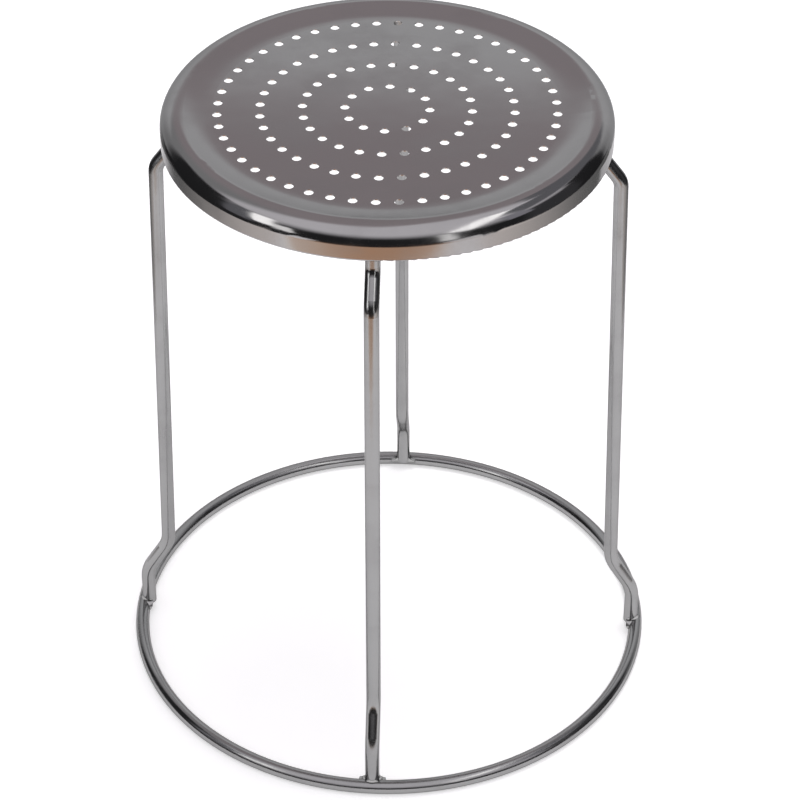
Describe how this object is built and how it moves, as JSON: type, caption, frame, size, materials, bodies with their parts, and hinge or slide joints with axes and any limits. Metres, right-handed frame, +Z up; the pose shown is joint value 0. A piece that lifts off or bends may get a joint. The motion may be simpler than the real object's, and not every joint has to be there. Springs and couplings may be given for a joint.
{
  "type": "stacking stool",
  "caption": "Round chromed steel stacking stool: a perforated pressed pan on bent bar legs that joggle out past the rim and stand on a wider base ring.",
  "frame": {"origin": "floor level, on the vertical axis through the seat's centre", "axes": "+Z up; the legs stand on +X, +Y, -X and -Y, and -Y is the front"},
  "size_m": [0.38, 0.38, 0.45],
  "materials": {
    "seat_chrome": "polished chrome plate on pressed sheet",
    "frame_chrome": "polished chrome plate on bent bar",
    "weld_chrome": "chrome plate over rippled weld beads"
  },
  "bodies": {
    "root": {"seat_pan": "seat_chrome", "seat_hoop": "frame_chrome", "base_ring": "frame_chrome", "leg_right": "frame_chrome", "leg_back": "frame_chrome", "leg_left": "frame_chrome", "leg_front": "frame_chrome", "foot_weld_right": "weld_chrome", "foot_weld_back": "weld_chrome", "foot_weld_left": "weld_chrome", "foot_weld_front": "weld_chrome", "hoop_weld_right": "weld_chrome", "hoop_weld_back": "weld_chrome", "hoop_weld_left": "weld_chrome", "hoop_weld_front": "weld_chrome", "hem_tack_right": "weld_chrome", "hem_tack_back": "weld_chrome", "hem_tack_left": "weld_chrome", "hem_tack_front": "weld_chrome"}
  },
  "joints": []
}
